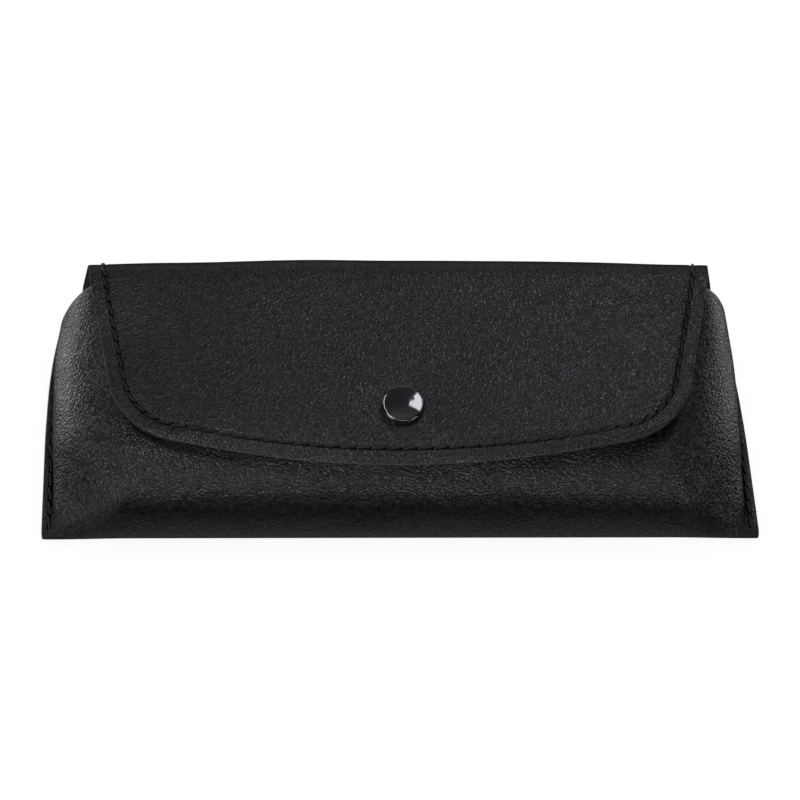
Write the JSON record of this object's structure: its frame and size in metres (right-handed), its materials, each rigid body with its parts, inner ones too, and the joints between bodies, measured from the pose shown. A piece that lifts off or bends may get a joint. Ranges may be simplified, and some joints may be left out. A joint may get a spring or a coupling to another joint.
{
  "type": "soft pouch glasses case",
  "caption": "Soft leather pouch for folded glasses, with a wide mouth and a flap that folds over the front and closes with one press snap.",
  "frame": {"origin": "centre of the case's flat back, midway between the bottom fold and the top fold, on the face that rests on a table", "axes": "+X across the case, +Y from the bottom fold to the top fold, +Z out of the front"},
  "size_m": [0.175, 0.0652, 0.0312],
  "materials": {
    "black_leather": "fine-grained, semi-matt",
    "grey_lining": "short-napped, matt",
    "board": "pressed fibre board",
    "black_thread": "waxed thread",
    "black_enamel": "glossy enamel",
    "nickel_steel": "nickel-plated"
  },
  "bodies": {
    "pouch": {"pouch_shell": "black_leather", "pouch_lining": "grey_lining", "back_board": "board", "seam_thread_left": "black_thread", "seam_thread_right": "black_thread", "snap_stud": "nickel_steel", "stud_rivet": "nickel_steel"},
    "top_band": {"band_outer": "black_leather", "band_lining": "grey_lining", "band_thread_left": "black_thread", "band_thread_right": "black_thread"},
    "flap": {"flap_outer": "black_leather", "flap_lining": "grey_lining", "flap_board": "board", "flap_thread": "black_thread", "snap_cap": "black_enamel", "snap_socket": "nickel_steel"},
    "wire_left": {"socket_wire_left": "nickel_steel"},
    "wire_right": {"socket_wire_right": "nickel_steel"}
  },
  "joints": [
    {"name": "back_bend", "type": "hinge", "parent": "pouch", "child": "top_band", "pos_m": [0, 0.03074, 0.00176], "axis": [-1, 0, 0], "range_deg": [0, 90]},
    {"name": "front_bend", "type": "hinge", "parent": "top_band", "child": "flap", "pos_m": [0, 0.0306, 0.0271], "axis": [-1, 0, 0], "range_deg": [0, 85]},
    {"name": "wire_right_flex", "type": "slide", "parent": "flap", "child": "wire_right", "axis": [1, 0, 0], "range_m": [0, 0.0003]},
    {"name": "wire_left_flex", "type": "slide", "parent": "flap", "child": "wire_left", "axis": [-1, 0, 0], "range_m": [0, 0.0003]}
  ],
  "couplings": [
    {"joint": "wire_left_flex", "follows": "wire_right_flex", "ratio": 1}
  ]
}
